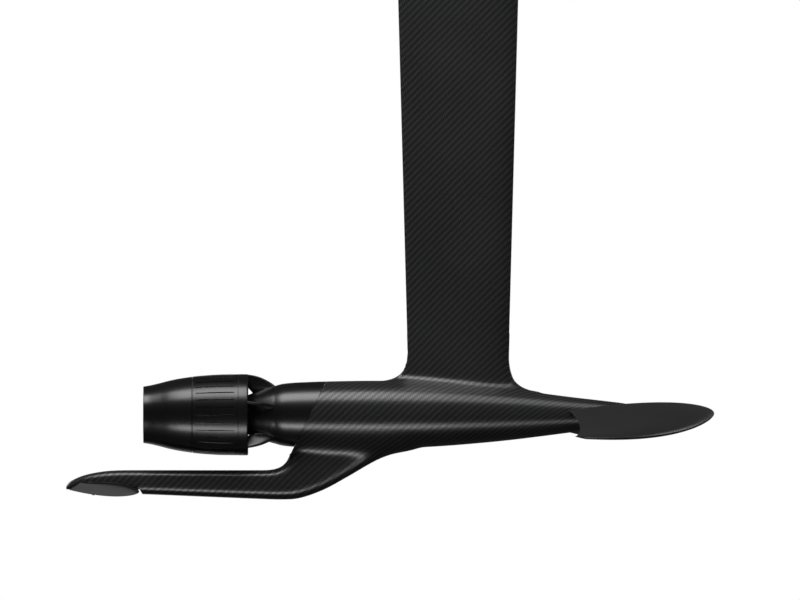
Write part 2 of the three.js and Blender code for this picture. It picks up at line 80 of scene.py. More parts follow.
def spline(stations, steps):
    """Evenly spaced points of a Catmull-Rom curve through the stations, as three.js draws it."""
    p = np.array(stations, float)
    t = np.linspace(0, len(p) - 1, steps + 1)
    i = np.minimum(t.astype(int), len(p) - 2)
    w = (t - i)[:, None]
    before, after = np.maximum(i - 1, 0), np.minimum(i + 2, len(p) - 1)
    v0, v1 = (p[i + 1] - p[before]) / 2, (p[after] - p[i]) / 2
    a, b = p[i], p[i + 1]
    return ((2 * a - 2 * b + v0 + v1) * w**3 + (-3 * a + 3 * b - 2 * v0 - v1) * w**2 + v0 * w + a)


def foil(u):
    """Half thickness of a foil at u along its chord, 0 at the nose, as a share of its thickness."""
    return 5 * (0.2969 * np.sqrt(u) - 0.126 * u - 0.3516 * u**2 + 0.2843 * u**3 - 0.1015 * u**4)


def bend(share):
    """How much of its full bend towards the tip a wing has at a share of its half span."""
    return 1 - (1 - share**2) ** 1.5


# ---- meshes ---------------------------------------------------------------------------------------

def piece(name, points, faces, height=-DRIVE_DEPTH):
    """A new object from points in millimetres about a centre at this height, by default the drive axis."""
    mesh = bpy.data.meshes.new(name)
    place = (np.asarray(points, float) + (0, 0, height)) * MM
    mesh.from_pydata(place.tolist(), [], [list(map(int, f)) for f in faces])
    mesh.validate()
    o = bpy.data.objects.new(name, mesh)
    bpy.context.scene.collection.objects.link(o)
    finish_shading(o)
    return o


def finish_shading(o):
    """Outward normals, and smooth shading up to the angle at which an edge is crisp."""
    bm = bmesh.new()
    bm.from_mesh(o.data)
    bmesh.ops.recalc_face_normals(bm, faces=bm.faces)
    if bm.calc_volume(signed=True) < 0:
        bmesh.ops.reverse_faces(bm, faces=bm.faces)
    for face in bm.faces:
        face.smooth = True
    limit = math.radians(CRISP_ANGLE)
    for edge in bm.edges:
        edge.smooth = len(edge.link_faces) == 2 and edge.calc_face_angle(0.0) < limit
    bm.to_mesh(o.data)
    bm.free()


def ring_faces(rings, count):
    """Quads between successive rings of equally many points."""
    r, i = np.meshgrid(np.arange(rings - 1), np.arange(count), indexing="ij")
    a, b = r * count + i, r * count + (i + 1) % count
    return np.stack([a, b, b + count, a + count], -1).reshape(-1, 4).tolist()


def loft(rings):
    """Points and faces of a closed skin through rings of equally many points."""
    rings = np.asarray(rings, float)
    steps, count = rings.shape[:2]
    faces = ring_faces(steps, count)
    faces += [list(range(count)), list(range((steps - 1) * count, steps * count))]
    return rings.reshape(-1, 3), faces


def turned(profile, count=ROUND):
    """Points and faces of a closed outline of [x, radius] turned about the X axis."""
    profile = np.asarray(profile, float)
    angle = np.linspace(0, 2 * math.pi, count, endpoint=False)
    points, rows = [], []
    for x, radius in profile:
        rows.append(list(range(len(points), len(points) + (1 if radius < 1e-6 else count))))
        if radius < 1e-6:
            points.append((x, 0, 0))
        else:
            points += [(x, -radius * math.sin(a), radius * math.cos(a)) for a in angle]
    faces = []
    for one, two in zip(rows, rows[1:] + rows[:1]):
        if len(one) == len(two) == 1:
            continue
        for i in range(count):
            j = (i + 1) % count
            quad = [one[i % len(one)], one[j % len(one)], two[j % len(two)], two[i % len(two)]]
            faces.append(list(dict.fromkeys(quad)))
    return points, faces


def block(x0, x1, y0, y1, z0, z1):
    """Points and faces of a box."""
    points = [(x, y, z) for x in (x0, x1) for y in (y0, y1) for z in (z0, z1)]
    return points, [(0, 1, 3, 2), (4, 6, 7, 5), (0, 4, 5, 1), (2, 3, 7, 6), (0, 2, 6, 4), (1, 5, 7, 3)]


def moved(shape, x=0, y=0, z=0):
    return np.asarray(shape[0], float) + (x, y, z), shape[1]


def spun(shape, degrees):
    """A shape turned about the X axis."""
    points, faces = shape
    a = math.radians(degrees)
    x, y, z = np.asarray(points, float).T
    return np.stack([x, y * math.cos(a) - z * math.sin(a), y * math.sin(a) + z * math.cos(a)], 1), faces


def around(shape, count, first=0.0):
    """A shape repeated about the X axis, from a first angle in degrees, as one."""
    return together(*(spun(shape, 360 / count * n + first) for n in range(count)))


def together(*shapes):
    """Several closed shapes, each points and faces, as one."""
    points, faces, first = [], [], 0
    for some, quads in shapes:
        points.append(np.asarray(some, float))
        faces += [[first + i for i in face] for face in quads]
        first += len(some)
    return np.concatenate(points), faces


def boolean(o, shape, operation="DIFFERENCE", height=-DRIVE_DEPTH):
    """Cuts or joins a closed shape, or several that lie apart, into an object."""
    helper = piece("helper", *shape, height=height)
    modifier = o.modifiers.new("cut", "BOOLEAN")
    modifier.operation = operation
    modifier.object = helper
    modifier.solver = "EXACT"
    mesh = bpy.data.meshes.new_from_object(o.evaluated_get(bpy.context.evaluated_depsgraph_get()))
    o.modifiers.clear()
    o.data = mesh
    bpy.data.objects.remove(helper)
    finish_shading(o)


# ---- the carbon moulding ---------------------------------------------------------------------------

FUSELAGE = [
    (-215, 38.0), (-200, 39.5), (-150, 40.9), (-98, 41.5), (-54, 40.1), (-17, 38.1), (22, 35),
    (61, 31.2), (100, 26.5), (139, 21.5), (178, 17), (205, 13.4), (214, 9),
]
FUSELAGE_BACK, FUSELAGE_END = -226.0, 217.0
NOSE_ROUNDING = 8.0

# Rear and front edge of each section through the boom and pylon, (x, z, x, z, half width).
BOOM = [
    (-478.4, -88, -478, -92, 3), (-476.6, -85, -476, -94, 6), (-471.3, -80.2, -471, -96, 9.5),
    (-456.6, -73.9, -456, -96.5, 13), (-437, -69.7, -437, -97, 15), (-417.6, -67.9, -417, -97, 16),
    (-385, -67.6, -385, -97, 16.5), (-303, -67.6, -303, -100.3, 17), (-254, -67.6, -250, -102.4, 17.5),
    (-231, -67.3, -216, -103.4, 18), (-219, -64.6, -193, -101.6, 18), (-211.5, -59.5, -164, -91.4, 17.5),
    (-206.5, -52, -134.6, -75.5, 17), (-203, -45, -108, -60, 17), (-200, -38.6, -83, -47.3, 18),
    (-196, -28, -58, -38, 20), (-190, -16, -50, -24, 22),
]


GRID_X, GRID_HALF_WIDTH, GRID_Z = (-484, 224), 46.0, (-108, 112)  # the space the net is drawn in
BOOM_TOP, MAST_FOOT = -24.0, 10.0  # heights inside the fuselage where the boom ends and the mast starts
BOOM_WIDEST = 25.5
BOOM_JOIN, MAST_JOIN = 16.0, 14.0  # reach of each fillet
SETTLE_ROUNDS = 6  # times that the net is evened out
MAST_POINTS = 160  # round the mast's section


def foil_outline(count, chord, thickness):
    """Outline of the mast's section about its centre, (x, y), going round from the nose."""
    angle = np.linspace(0, 2 * math.pi, count, endpoint=False)
    u = (1 - np.cos(angle)) / 2
    half = np.maximum(thickness * foil(u), np.where(u > 0.5, MAST_EDGE, 0.0))
    y = np.sign(np.round(np.sin(angle), 9)) * half
    return np.stack([chord / 2 - chord * u, y], 1)


def mast_size(height):
    """Chord and thickness of the mast at a height above the drive axis."""
    chord = MAST_ROOT_CHORD + MAST_TAPER * (height - MAST_ROOT_HEIGHT)
    up = max((height - MAST_ROOT_HEIGHT) / (DRIVE_DEPTH - MAST_ROOT_HEIGHT), 0.0)
    return chord, MAST_ROOT_THICKNESS + (MAST_TOP_THICKNESS - MAST_ROOT_THICKNESS) * up


def flare(height, top, foot, reach):
    """How far a fillet of this reach stands out at a height, when it starts at top and ends at foot."""
    down = min(max((top - height) / (top - foot), 0.0), 1.0)
    return reach * (1 - math.sqrt(1 - down**2))


def polygon_distance(x, y, outline):
    """Signed distance from points to a closed outline, negative inside."""
    start, end = outline, np.roll(outline, -1, 0)
    best = np.full(x.shape, 1e9)
    inside = np.zeros(x.shape, bool)
    for (ax, ay), (bx, by) in zip(start, end):
        dx, dy = bx - ax, by - ay
        t = np.clip(((x - ax) * dx + (y - ay) * dy) / (dx * dx + dy * dy + 1e-12), 0, 1)
        best = np.minimum(best, np.hypot(x - ax - t * dx, y - ay - t * dy))
        if abs(dy) > 1e-12:
            inside ^= ((ay > y) != (by > y)) & (x < ax + (y - ay) * dx / dy)
    return np.where(inside, -best, best)


def soft_join(a, b, reach):
    """The union of two fields with a fillet of about that reach."""
    h = np.clip(0.5 + 0.5 * (b - a) / reach, 0, 1)
    return b + (a - b) * h - reach * h * (1 - h)


def squared(value):
    """Makes a sine or cosine draw a rounded rectangle instead of a circle."""
    return np.sign(value) * np.abs(value) ** (2 / 3)


def boom_tree():
    """The skin through the boom's sections, splined between them."""
    stations = spline(BOOM, 120)
    angle = np.linspace(0, 2 * math.pi, 96, endpoint=False)
    rings = []
    for rear_x, rear_z, front_x, front_z, half in stations:
        middle = np.array([(rear_x + front_x) / 2, 0, (rear_z + front_z) / 2])
        along = np.array([rear_x, 0, rear_z]) - middle
        rings.append(middle + squared(np.cos(angle))[:, None] * along
                     + squared(np.sin(angle))[:, None] * (0, half, 0))
    points, faces = loft(rings[::-1])
    return BVHTree.FromPolygons([Vector(p) for p in points], faces)


def moulding_field(step):
    """The port half of the lower moulding as a field on a grid, negative inside, and the grid's lines."""
    xs, zs = np.arange(*GRID_X, step[0]), np.arange(*GRID_Z, step[2])
    ys = np.arange(-step[1] / 2, GRID_HALF_WIDTH, step[1])
    x, y, z = np.meshgrid(xs, ys, zs, indexing="ij")
    radius = np.interp(xs, *spline(FUSELAGE, 240).T)
    slope = np.gradient(radius, xs)[:, None, None]
    fuselage = (np.hypot(y, z) - radius[:, None, None]) / np.sqrt(1 + slope**2)
    fuselage = np.maximum(fuselage, FUSELAGE_BACK - x)
    nose = x - FUSELAGE_END
    rounded_end = np.maximum(fuselage, -soft_join(-fuselage, -nose, NOSE_ROUNDING))
    fuselage = np.where(nose > -14, rounded_end, fuselage)

    boom = np.full(x.shape, 60.0)  # far outside, except near enough to matter
    tree = boom_tree()
    for i, j, k in np.argwhere((x < -30) & (z < -14) & (y < 40) & (fuselage > -20)):
        spot = Vector((xs[i], ys[j], zs[k]))
        near, normal, _, distance = tree.find_nearest(spot)
        outside = ys[j] > BOOM_WIDEST or (spot - near).dot(normal) > 0
        boom[i, j, k] = distance if outside else -distance
    boom = np.maximum(boom, z - BOOM_TOP)

    flat_x, flat_y = np.meshgrid(xs, ys, indexing="ij")
    chord, thickness = mast_size(MAST_CUT)
    section = polygon_distance(flat_x, flat_y, foil_outline(MAST_POINTS, chord + 1.0, thickness))
    mast = np.empty(x.shape)
    for k, height in enumerate(zs):
        half = mast_size(height)[0] / 2
        nose, tail = half + flare(height, *NOSE_FILLET), -half - flare(height, *TAIL_FILLET)
        scaled = (xs - (nose + tail) / 2) * chord / (nose - tail)
        for j in range(len(ys)):
            mast[:, j, k] = np.interp(scaled, xs, section[:, j])
    mast = np.maximum(mast, MAST_FOOT - z)
    return soft_join(soft_join(fuselage, boom, BOOM_JOIN), mast, MAST_JOIN), (xs, ys, zs)


def surface_net(field, corner, step):
    """Quads over the zero level of a field on a grid, one point in each cell that it crosses."""
    inside = field < 0
    shape = np.array(field.shape) - 1
    corners = [(i, j, k) for i in (0, 1) for j in (0, 1) for k in (0, 1)]
    window = [tuple(slice(c, c + n) for c, n in zip(cube, shape)) for cube in corners]
    count = sum(inside[w].astype(np.int8) for w in window)
    cells = np.argwhere((count > 0) & (count < 8))
    index = np.full(shape, -1)
    index[tuple(cells.T)] = np.arange(len(cells))
    total, hits = np.zeros((len(cells), 3)), np.zeros(len(cells))
    for a in corners:
        for axis in range(3):
            if a[axis]:
                continue
            b = tuple(c + (n == axis) for n, c in enumerate(a))
            va = field[tuple((cells + a).T)]
            vb = field[tuple((cells + b).T)]
            cross = (va < 0) != (vb < 0)
            t = np.where(cross, va / np.where(cross, va - vb, 1), 0)
            spot = cells + np.array(a) + t[:, None] * (np.array(b) - a)
            total += spot * cross[:, None]
            hits += cross
    points = total / hits[:, None] * step + corner
    faces = []
    for axis in range(3):
        other = [n for n in range(3) if n != axis]
        low = [slice(1, None)] * 3
        low[axis] = slice(0, -1)
        high = list(low)
        high[axis] = slice(1, None)
        trimmed = inside[tuple(low)], inside[tuple(high)]
        crossing = np.argwhere(trimmed[0] != trimmed[1])
        base = crossing + 1
        base[:, axis] -= 1
        keep = np.all(base < shape, 1)
        base, crossing = base[keep], crossing[keep]
        steps = [np.zeros(3, int) for _ in range(4)]
        steps[1][other[0]] = steps[2][other[0]] = -1
        steps[2][other[1]] = steps[3][other[1]] = -1
        quad = np.stack([index[tuple((base + s).T)] for s in steps], 1)
        flip = trimmed[0][tuple(crossing.T)] == (axis == 1)
        quad[flip] = quad[flip][:, ::-1]
        faces.append(quad[np.all(quad >= 0, 1)])
    return points, np.concatenate(faces)


def sample(field, spots):
    """Trilinear values of a field at places given in cells."""
    low = np.clip(np.floor(spots).astype(int), 0, np.array(field.shape) - 2)
    part = spots - low
    value = 0.0
    for i, j, k in ((i, j, k) for i in (0, 1) for j in (0, 1) for k in (0, 1)):
        weight = 1.0
        for n, c in enumerate((i, j, k)):
            weight = weight * (part[:, n] if c else 1 - part[:, n])
        value = value + weight * field[low[:, 0] + i, low[:, 1] + j, low[:, 2] + k]
    return value


def settle(points, faces, field, corner, step):
    """Evens out a net's points and draws them back onto the zero level after each round."""
    edges = np.concatenate([faces[:, [n, (n + 1) % 4]] for n in range(4)])
    edges = np.unique(np.sort(edges, 1), axis=0)
    neighbours = np.bincount(edges.ravel(), minlength=len(points))[:, None]
    for _ in range(SETTLE_ROUNDS):
        total = np.zeros_like(points)
        for n in range(3):
            total[:, n] = (np.bincount(edges[:, 0], points[edges[:, 1], n], len(points))
                           + np.bincount(edges[:, 1], points[edges[:, 0], n], len(points)))
        points = 0.4 * points + 0.6 * total / neighbours
        for _ in range(2):
            cells = (points - corner) / step
            value = sample(field, cells)
            slope = np.stack([sample(field, cells + d) - sample(field, cells - d)
                              for d in 0.5 * np.eye(3)], 1) / step
            points = points - value[:, None] * slope / np.maximum((slope**2).sum(1), 0.05)[:, None]
    return points


def lower_moulding(step):
    """Points and quads of the whole moulding below the plain mast."""
    half, (xs, ys, zs) = moulding_field(step)
    field = np.concatenate([half[:, :0:-1], half[:, 1:]], 1)
    corner = np.array([xs[0], -ys[-1], zs[0]])
    points, faces = surface_net(field, corner, step)
    return settle(points, faces, field, corner, step), faces


def add_mast(o):
    """Cuts the net off level and carries its rim up as the plain mast section."""
    bm = bmesh.new()
    bm.from_mesh(o.data)
    level = (MAST_CUT - DRIVE_DEPTH) * MM
    bmesh.ops.bisect_plane(bm, geom=bm.verts[:] + bm.edges[:] + bm.faces[:], plane_co=(0, 0, level),
                           plane_no=(0, 0, 1), clear_outer=True)
    rim = [e for e in bm.edges if len(e.link_faces) == 1]
    rings = []
    for height in [MAST_CUT + 3, *np.linspace(MAST_CUT + 12, MAST_TOP, 60)]:
        outline = foil_outline(MAST_POINTS, *mast_size(height))
        rings.append([bm.verts.new((x * MM, y * MM, (height - DRIVE_DEPTH) * MM)) for x, y in outline])
    for one, two in zip(rings, rings[1:]):
        for i in range(MAST_POINTS):
            j = (i + 1) % MAST_POINTS
            bm.faces.new((one[i], one[j], two[j], two[i]))
    bm.faces.new(rings[-1])
    bottom = [bm.edges.get((rings[0][i], rings[0][(i + 1) % MAST_POINTS])) for i in range(MAST_POINTS)]
    bmesh.ops.bridge_loops(bm, edges=rim + bottom)
    bm.to_mesh(o.data)
    bm.free()


def rod(x0, x1, radius, count=48):
    """A cylinder along X."""
    return turned([(x0, 0), (x1, 0), (x1, radius), (x0, radius)], count)


def upright(shape, x, z):
    """A shape along +X stood up along +Z, its start at a place on the centre plane."""
    px, py, pz = np.asarray(shape[0], float).T
    return np.stack([x - pz, py, z + px], 1), shape[1]


def downward(shape, x, z):
    """A shape along +X stood down along -Z, its start at a place on the centre plane."""
    px, py, pz = np.asarray(shape[0], float).T
    return np.stack([x + pz, py, z - px], 1), shape[1]


def behind_joint(radius):
    """A rod from behind the housing up to the slanted joint."""
    angle = np.linspace(0, 2 * math.pi, ROUND, endpoint=False)
    y, z = -radius * np.sin(angle), radius * np.cos(angle)
    far = np.full(ROUND, BEHIND)
    return loft([np.stack([far, y, z], 1), np.stack([JOINT_X + JOINT_SLOPE * z, y, z], 1)])


def cloth_place(points):
    """Where each point lies on the cloth, in millimetres: along the body, and round or up it."""
    x, y, z = points.T
    radius = 41.0
    around = np.arctan2(z, np.abs(y) + 1e-9)
    on_body = radius * around + np.sign(z) * np.maximum(np.hypot(y, z) - radius, 0)
    boom_radius, boom_z = 17.5, -85.0
    on_boom = boom_radius * np.arctan2(z - boom_z, np.abs(y) + 1e-9) - 100.0
    share = np.clip((-x - 190) / 60, 0, 1) * np.clip((-z - 52) / 10, 0, 1)
    share = share * share * (3 - 2 * share)
    return x, on_body * (1 - share) + on_boom * share


def tail_seat():
    """The room under the boom for the tail wing, its front wall leaning forward."""
    side = [(-500, SEAT_TAIL_Z), (SEAT_TAIL_X, SEAT_TAIL_Z), (SEAT_TAIL_X + 4.6, SEAT_TAIL_Z - 8),
            (-375, -130), (-500, -130)]
    return loft([np.array([(x, y, z) for x, z in side]) for y in (-40, 40)])


def write_cloth(o):
    """Stores each point's place on the cloth for the weave to follow."""
    co = np.empty(len(o.data.vertices) * 3)
    o.data.vertices.foreach_get("co", co)
    points = co.reshape(-1, 3) / MM + (0, 0, DRIVE_DEPTH)
    along, across = cloth_place(points)
    cloth = o.data.attributes.new("cloth", "FLOAT_VECTOR", "POINT")
    cloth.data.foreach_set("vector", np.stack([along, across, 0 * along], 1).astype(np.float32).ravel())


def moulding():
    step = np.array(((2.0, 0.8, 2.0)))
    o = piece("carbon_mast_and_fuselage", *lower_moulding(step))
    add_mast(o)
    finish_shading(o)
    boolean(o, behind_joint(48.0))
    boolean(o, turned([(BEHIND, 0), (BAY_FRONT, 0), (BAY_FRONT, BAY_RADIUS), (BORE_FRONT, BAY_RADIUS),
                       (BORE_FRONT, BORE_RADIUS), (BEHIND, BORE_RADIUS)]))
    boolean(o, block(CHANNEL_X - 12, CHANNEL_X + 12, -3.6, 3.6, 8, 800))
    boolean(o, together(block(SEAT_WING_X, 260, -60, 60, -80, SEAT_WING_Z), tail_seat()))
    boolean(o, together(*(upright(rod(0, 8, 3.3), x, 3.8) for x in WING_SCREWS),
                        *(upright(rod(0, 17, 2.8), x, -94) for x in TAIL_SCREWS),
                        *(upright(rod(0, 45, 3.3), x, DRIVE_DEPTH - 42) for x in MAST_SCREWS)))
    write_cloth(o)
    return o


# ---- wings -----------------------------------------------------------------------------------------

def wing_rings(section_at, half_span):
    """Sections across a wing. section_at gives nose (x, z), tail (x, z), thickness and camber at a share."""
    shares = np.sin(np.linspace(0, math.pi / 2, 61)) * 0.9965
    angle = np.linspace(0, 2 * math.pi, 96, endpoint=False)
    u = (1 - np.cos(angle)) / 2
    side = np.sign(np.round(np.sin(angle), 9))
    rings = []
    for s in [*(-shares[:0:-1]), *shares]:
        nose, tail, thickness, camber = section_at(abs(s))
        blunt = np.where(u > 0.5, min(0.35, 0.06 * thickness), 0.0)
        x = nose[0] + (tail[0] - nose[0]) * u
        z = nose[1] + (tail[1] - nose[1]) * u + side * np.maximum(thickness * foil(u), blunt)
        z = z + camber * 4 * u * (1 - u)
        rings.append(np.stack([x, np.full_like(x, s * half_span), z], 1))
    return rings


def front_section(s):
    """The front wing at a share of its half span, drooping towards the tip."""
    nose = 312 - 173 * (1 - math.sqrt(1 - s**2.6))
    tail = 133.8 + 5.2 * s + 60 * s**2 * (1 - s)
    chord, drop = nose - tail, 29.3 * bend(s)
    root = 22 / 178  # thickness as a share of the chord
    thickness = chord * (root + (0.1 - root) * s)
    return (nose, 2.3 - drop), (tail, 5.2 - drop), thickness, 0.0067 * chord


def tail_section(s):
    """The tail wing at a share of its half span, its tips turned up."""
    rise = 1 - (1 - s**1.7) ** 1.6
    nose = -389.2 - 65 * (1 - math.sqrt(1 - s**2.2))
    tail = -474.2 + 16 * rise
    chord = nose - tail
    return (nose, -94.0 + 13 * rise), (tail, -91.6 + 10 * rise), 0.11 * chord, -0.026 * chord


def screw(length, radius):
    """A flat-head hex socket screw along +X, its head's face at the origin, with a rounded rim."""
    head = HEAD_SHARE * radius
    body = piece("screw", *turned([(0, 0), (length - 0.5, 0), (length - 0.5, radius - 0.5),
                                   (length - 1, radius), (radius, radius), (0.45, head), (0.1, head - 0.1),
                                   (0, head - 0.4)], 64))
    boolean(body, rod(-1, 0.7 * radius, 0.7 * radius, 6))
    return shape_of(body)


def shape_of(o):
    """Takes an object apart into points, in millimetres about the drive axis, and faces."""
    points = np.array([v.co for v in o.data.vertices]) / MM + (0, 0, DRIVE_DEPTH)
    faces = [list(p.vertices) for p in o.data.polygons]
    bpy.data.objects.remove(o)
    return points, faces


def screw_room(length, radius):
    """The room that a flat-head screw takes, open above its head."""
    head, hole = HEAD_SHARE * radius + GAP, radius + GAP
    return turned([(-30, 0), (length, 0), (length, hole), (radius, hole), (0, head), (-30, head)], 64)


def front_wing():
    skin = [(x, r + GAP) for x, r in spline(FUSELAGE, 120)]
    room = piece("room", *turned([*skin, (FUSELAGE_END + GAP, 0), (-215, 0)]))
    boolean(room, block(SEAT_WING_X + GAP, 260, -60, 60, -80, SEAT_WING_Z - GAP))
    o = piece("front_wing_skin", *loft(wing_rings(front_section, 425)))
    boolean(o, shape_of(room))
    room = screw_room(*WING_SCREW)
    boolean(o, together(*(upright(room, x, z) for x, z in zip(WING_SCREWS, WING_HEADS))))
    return o


def tail_wing():
    o = piece("tail_wing_skin", *loft(wing_rings(tail_section, 195)))
    boolean(o, block(-490, SEAT_TAIL_X + 2, -19, 19, SEAT_TAIL_Z - GAP, -50))
    boolean(o, together(*(upright(screw_room(*TAIL_SCREW), x, TAIL_HEAD) for x in TAIL_SCREWS)))
    return o


# ---- motor housing and intake ------------------------------------------------------------------------

HOUSING = [(-120, 41.2), (-164, 40.6), (-186, 39.8), (-199, 39.2), (-211.4, 38.1), (-217.5, 37),
           (HOUSING_BACK, 35.2)]


def motor_housing():
    """Rings from the rear face, forward over the skin to the slanted joint, and back through the bore."""
    angle = np.linspace(0, 2 * math.pi, ROUND, endpoint=False)
    skin = spline(HOUSING[::-1], 48)
    rings = []

    def ring(x, radius):
        rings.append(np.stack([x + 0 * angle, -radius * np.sin(angle), radius * np.cos(angle)], 1))

    def joint(radius, back=0.0):
        return JOINT_X - SEAM - back + JOINT_SLOPE * radius * np.cos(angle)

    ring(HOUSING_BACK, 7)
    for share in np.linspace(0, 1, 30):
        x = HOUSING_BACK + (joint(40.2, 0.35) - HOUSING_BACK) * share
        ring(x, np.interp(x, *skin.T))
    edge = np.interp(joint(40.2), *skin.T) - 0.35
    ring(joint(edge), edge)
    ring(joint(35), 35)
    for x, radius in [(-117.6, 35), (-117.6, 33.3), (-114.9, 33.3), (-114.9, 35), (-107.2, 35),
                      (-106.6, 34.4), (-106.6, 32), (-214, 32), (-214, 13.3), (-222, 13.3), (-222, 7)]:
        ring(x, radius)
    points = np.concatenate(rings)
    faces = ring_faces(len(rings), ROUND)
    last = (len(rings) - 1) * ROUND
    faces += [(last + i, last + (i + 1) % ROUND, (i + 1) % ROUND, i) for i in range(ROUND)]
    o = piece("motor_housing_shell", points, faces)
    boolean(o, around(moved(rod(-227, -212, 2.3, 32), z=STRUT_SCREW_CIRCLE), STRUTS, BETWEEN_STRUTS))
    return o


def leaf_strut():
    """One intake strut pointing up: rounded sections stacked outwards, thick where it meets the hub."""
    front = [(20, -218.5), (26, -218.8), (30, -219.6), (33.5, -221.6), (37, -225.4), (41, -231.5),
             (45, -239.5), (47.6, -247.5), (49.1, -256)]
    rear = [(20, -249.5), (26, -250.6), (32.6, -256.3), (40, -261.5), (47, -265.5), (49.1, -266)]
    front, rear = spline(front, 40), spline(rear, 40)
    angle = np.linspace(0, 2 * math.pi, 40, endpoint=False)
    rings = []
    for r in np.concatenate([np.linspace(20, 44, 14), np.linspace(45, 49.1, 9)]):
        lead, trail = np.interp(r, *front.T), np.interp(r, *rear.T)
        half = 1.7 + 2.5 * math.exp(-max(r - 31, 0) / 5)
        x = (lead + trail) / 2 + (lead - trail) / 2 * np.sign(np.cos(angle)) * np.abs(np.cos(angle)) ** 0.85
        y = half * np.sign(np.sin(angle)) * np.abs(np.sin(angle)) ** 0.7
        rings.append(np.stack([x, y, np.full_like(x, r)], 1))
    return loft(rings)


def intake_spider():
    """The hub's cone, the duct's lip and the struts that join them, as one piece."""
    skin = spline([(-223.7, 35.2), (-229, 33.8), (-238, 31.0), (-251, 26.3), (-262, 21.5), (-268, 17.5)], 40)
    cone = [(-223.7, 12.3), *skin, (-268, 7.3), (-233, 7.3), (-233, 12.3)]
    lip = [(-257.5, 46.7), (-256.9, 47.0), (-256.4, 47.7), (-256.3, 48.3), (-256.6, 48.9),
           (-257.3, 49.35), (-258.2, 49.5), (-267.9, 49.5), (-268.3, 49.1), (-268.3, 46.4)]
    o = piece("intake_struts_and_ring", *together(turned(cone), turned(lip)))
    boolean(o, around(leaf_strut(), STRUTS), "UNION")
    boolean(o, turned([(-200, 5), (-223.65, 5), (-223.65, 60), (-200, 60)]))
    room = turned([(-304, 0), (-220, 0), (-220, 2.3), (-253.6, 2.3), (-253.6, 3.8), (-304, 3.8)], 32)
    boolean(o, around(moved(room, z=STRUT_SCREW_CIRCLE), STRUTS, BETWEEN_STRUTS))
    return o


# ---- duct, nozzle and impeller ----------------------------------------------------------------------

DUCT = [(-268.4, 49.3), (-268.5, 49.4), (-280, 49.3), (-291, 49.1), (-303, 48.4), (-315, 47.5), (-323.7, 46.55),
        (-324.2, 46.05)]
NOZZLE = [(-324.5, 45.9), (-325, 46.35), (-339.5, 44.2), (-352, 41.7), (-364, 38.6), (-376, 35.8),
          (-383.7, 34.55)]
FLUTES, FLUTE_FRONT, FLUTE_BACK = 32, -272.9, -319.9
FLUTE_LEVELS = ((0.5, -0.9), (0.72, -0.12), (1.0, 0.15), (1.0, 4.0))  # half width, height over the wall
FLUTE_STEPS = 12  # along each straight side, so that the floor follows the wall's curve


def flute(wall):
    """The tool for one shallow groove with rounded ends along the top of the duct."""
    turn = np.linspace(0, 2 * math.pi, 24, endpoint=False)
    middle, reach = (FLUTE_FRONT + FLUTE_BACK) / 2, (FLUTE_FRONT - FLUTE_BACK) / 2 - 0.72
    rings = []
    for half, lift in FLUTE_LEVELS:
        x = middle + np.where(np.cos(turn) > 0, 1, -1) * reach + half * np.cos(turn)
        outline = np.stack([x, half * np.sin(turn)], 1)
        row = []
        for here, after in zip(outline, np.roll(outline, -1, 0)):
            parts = FLUTE_STEPS if abs(after[0] - here[0]) > reach else 1
            row += [here + (after - here) * step / parts for step in range(parts)]
        x, y = np.array(row).T
        rings.append(np.stack([x, y, np.interp(x, *wall[::-1].T) + lift], 1))
    return loft(rings)


def duct_housing():
    wall = np.concatenate([DUCT[:1], spline(DUCT[1:-1], 40), DUCT[-1:]])
    o = piece("fluted_duct_ring", *turned([*wall, (-324.2, 44.6), (-317, 45.2), (-317, 45.8),
                                           (-268.4, 46.4)], FINE_ROUND))
    boolean(o, around(flute(wall), FLUTES))
    return o


def nozzle():
    inside = spline([(-384.1, 32.9), (-366, 35.2), (-345, 40.6), (-330, 42.4), (-317.3, 42.6)], 48)
    return piece("nozzle_cone", *turned([(-317.3, 44.8), (-324.5, 44.2), NOZZLE[0], *spline(NOZZLE[1:], 48),
                                         (-384.1, 34.2), *inside], FINE_ROUND))


def blade(radii, chord_at, pitch_at, thickness):
    """A twisted foil pointing up, whose chord turns from the axis by a pitch, at shares of its span."""
    angle = np.linspace(0, 2 * math.pi, 48, endpoint=False)
    u = (1 - np.cos(angle)) / 2
    half_thickness = thickness * np.sin(math.pi * u ** 0.8) ** 0.6
    rings = []
    for radius in radii:
        share = (radius - radii[0]) / (radii[-1] - radii[0])
        along = chord_at(share) * (0.5 - u)
        across = np.sign(np.round(np.sin(angle), 9)) * np.maximum(half_thickness, 0.12)
        pitch = math.radians(pitch_at(share))
        x = along * math.cos(pitch) - across * math.sin(pitch)
        turn = (along * math.sin(pitch) + across * math.cos(pitch)) / radius
        rings.append(np.stack([x, -radius * np.sin(turn), radius * np.cos(turn)], 1))
    return loft(rings)


IMPELLER_FRONT, IMPELLER_BACK, BLADES, VANES = -270.0, -317.0, 4, 6


def impeller():
    """A hub with four helical blades, their edges trimmed flat at the ends as moulded."""
    front, back = IMPELLER_FRONT - 0.03, IMPELLER_BACK + 0.03  # just inside the trimmed ends
    hub = [(IMPELLER_FRONT - 0.6, 17), (front, 16.4), (front, 6.3), (back, 6.3), (back, 15.6),
           (IMPELLER_BACK + 0.4, 16)]
    o = piece("four_blade_impeller", *turned(hub))
    tool = moved(blade(np.linspace(14, 44.8, 32), lambda s: 34 + 12 * s, lambda s: 38 + 24 * s, 1.1),
                 (IMPELLER_FRONT + IMPELLER_BACK) / 2)
    boolean(o, around(tool, BLADES, 0.7), "UNION")
    boolean(o, turned([(IMPELLER_BACK, 5), (IMPELLER_FRONT, 5), (IMPELLER_FRONT, 60),
                       (IMPELLER_BACK, 60)]), "INTERSECT")
    return o


